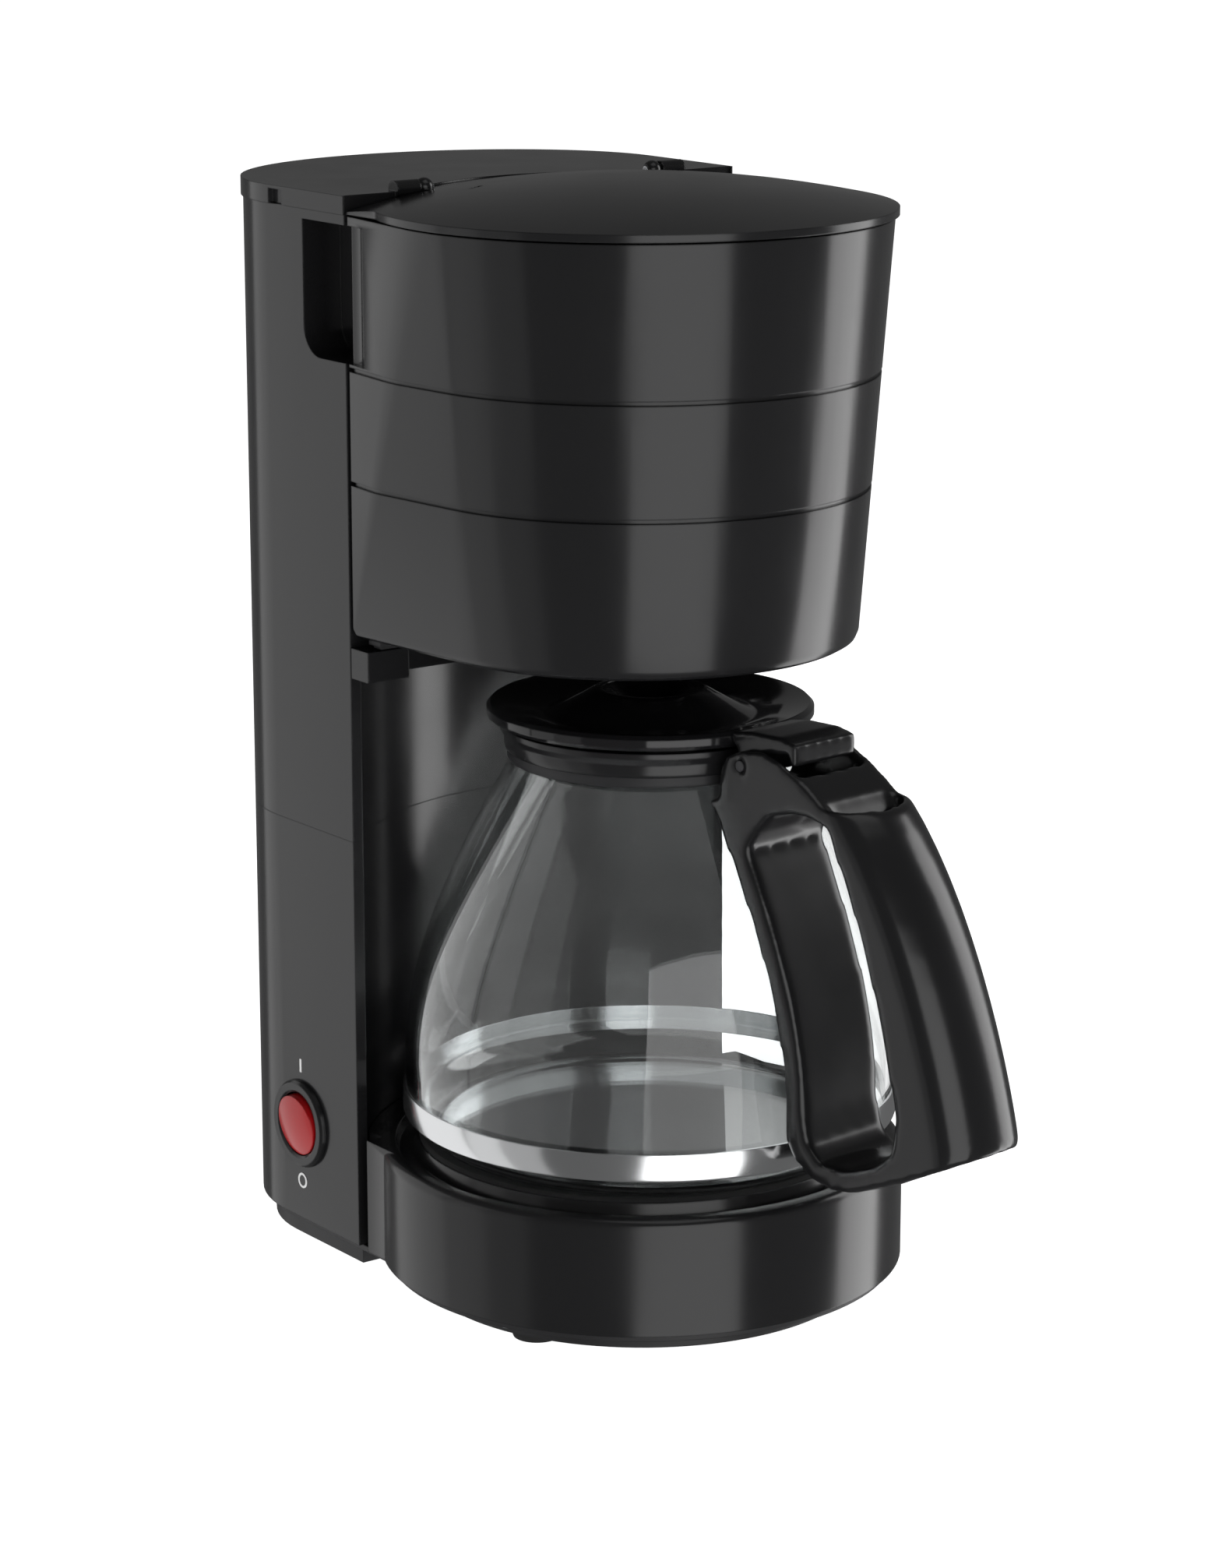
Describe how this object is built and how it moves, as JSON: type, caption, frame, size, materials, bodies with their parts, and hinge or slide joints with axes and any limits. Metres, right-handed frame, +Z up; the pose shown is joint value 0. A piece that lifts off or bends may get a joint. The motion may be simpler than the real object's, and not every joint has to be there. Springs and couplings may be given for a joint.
{
  "type": "drip coffee maker",
  "caption": "Black drip coffee maker with a tall rear tower, a swing-out brew basket under a domed lid, a round base, and a glass carafe with a chrome band and curved handle.",
  "frame": {"origin": "under the middle of the whole object, on the plane of the rubber feet", "axes": "+X to the user's right, +Y to the back of the tower, +Z up"},
  "size_m": [0.156, 0.288, 0.33],
  "materials": {
    "black_plastic": "glossy moulded plastic, faint orange peel",
    "satin_plastic": "satin moulded plastic",
    "rubber": "dull rubber",
    "silicone": "translucent silicone",
    "coated_steel": "smooth dark non-stick coating",
    "aluminium": "plain drawn aluminium",
    "steel": "plain steel",
    "chrome": "bright polished band",
    "brass": "plain brass",
    "ceramic_plastic": "pale phenolic",
    "pale_plastic": "pale moulded plastic",
    "red_insulation": "wire insulation",
    "red_plastic": "glossy red plastic",
    "white_print": "printed mark",
    "glass": "clear glass, slightly grey"
  },
  "bodies": {
    "housing": {"base_housing": "black_plastic", "lower_housing": "black_plastic", "upper_housing": "black_plastic", "rear_cover": "black_plastic", "bottom_plate": "satin_plastic", "rubber_feet": "rubber", "plate_gasket": "rubber", "warming_plate": "coated_steel", "heater_tube": "aluminium", "heating_element": "steel", "heater_bracket": "steel", "thermostat": "ceramic_plastic", "thermal_fuses": "brass", "inlet_hose": "silicone", "check_valve": "pale_plastic", "outlet_hose": "silicone", "hose_clamps": "steel", "riser_tube": "aluminium", "shower_arm": "satin_plastic", "shower_head": "satin_plastic", "water_tank": "satin_plastic", "tank_seals": "silicone", "cord_gland": "rubber", "terminal_block": "pale_plastic", "wiring": "red_insulation", "switch_body": "satin_plastic", "switch_bezel": "black_plastic", "switch_marks": "white_print", "housing_screws": "steel", "base_screws": "steel", "lid_hinge_pins": "steel", "basket_pivot_pin": "steel"},
    "rocker": {"switch_rocker": "red_plastic"},
    "lid": {"filter_lid": "black_plastic", "steam_shield": "satin_plastic"},
    "basket": {"basket_housing": "black_plastic", "filter_insert": "satin_plastic", "basket_catch": "satin_plastic", "valve_spring": "steel"},
    "valve": {"drip_valve": "satin_plastic", "valve_seal": "silicone"},
    "carafe": {"carafe_glass": "glass", "neck_collar": "black_plastic", "neck_band": "satin_plastic", "base_band": "chrome", "carafe_handle": "black_plastic", "band_screw": "steel", "lid_pin": "steel"},
    "carafe_lid": {"carafe_lid": "black_plastic", "thumb_lever": "black_plastic", "lid_funnel": "black_plastic"}
  },
  "joints": [
    {"name": "lid_hinge", "type": "hinge", "parent": "housing", "child": "lid", "pos_m": [0, 0.04855, 0.3256], "axis": [-1, 0, 0], "range_deg": [0, 80]},
    {"name": "basket_swing", "type": "hinge", "parent": "housing", "child": "basket", "pos_m": [0.0612, 0.03805, 0.2], "axis": [0, 0, 1], "range_deg": [0, 75]},
    {"name": "drip_valve_lift", "type": "slide", "parent": "basket", "child": "valve", "axis": [0, 0, 1], "range_m": [0, 0.003], "stiffness_N_per_m": 150, "deforming": ["valve_spring"]},
    {"name": "switch_press", "type": "hinge", "parent": "housing", "child": "rocker", "pos_m": [-0.0695, 0.07835, 0.0405], "axis": [0, 1, 0], "range_deg": [0, 14]},
    {"name": "carafe_removal", "type": "slide", "parent": "housing", "child": "carafe", "axis": [0, -1, 0], "range_m": [0, 0.4]},
    {"name": "carafe_lid_hinge", "type": "hinge", "parent": "carafe", "child": "carafe_lid", "pos_m": [0.00598, -0.05791, 0.1708], "axis": [0.9936, 0.1132, 0], "range_deg": [0, 30]}
  ],
  "couplings": [
    {"joint": "carafe_lid_hinge", "follows": "carafe_removal", "rad_per_m": 1.3}
  ]
}
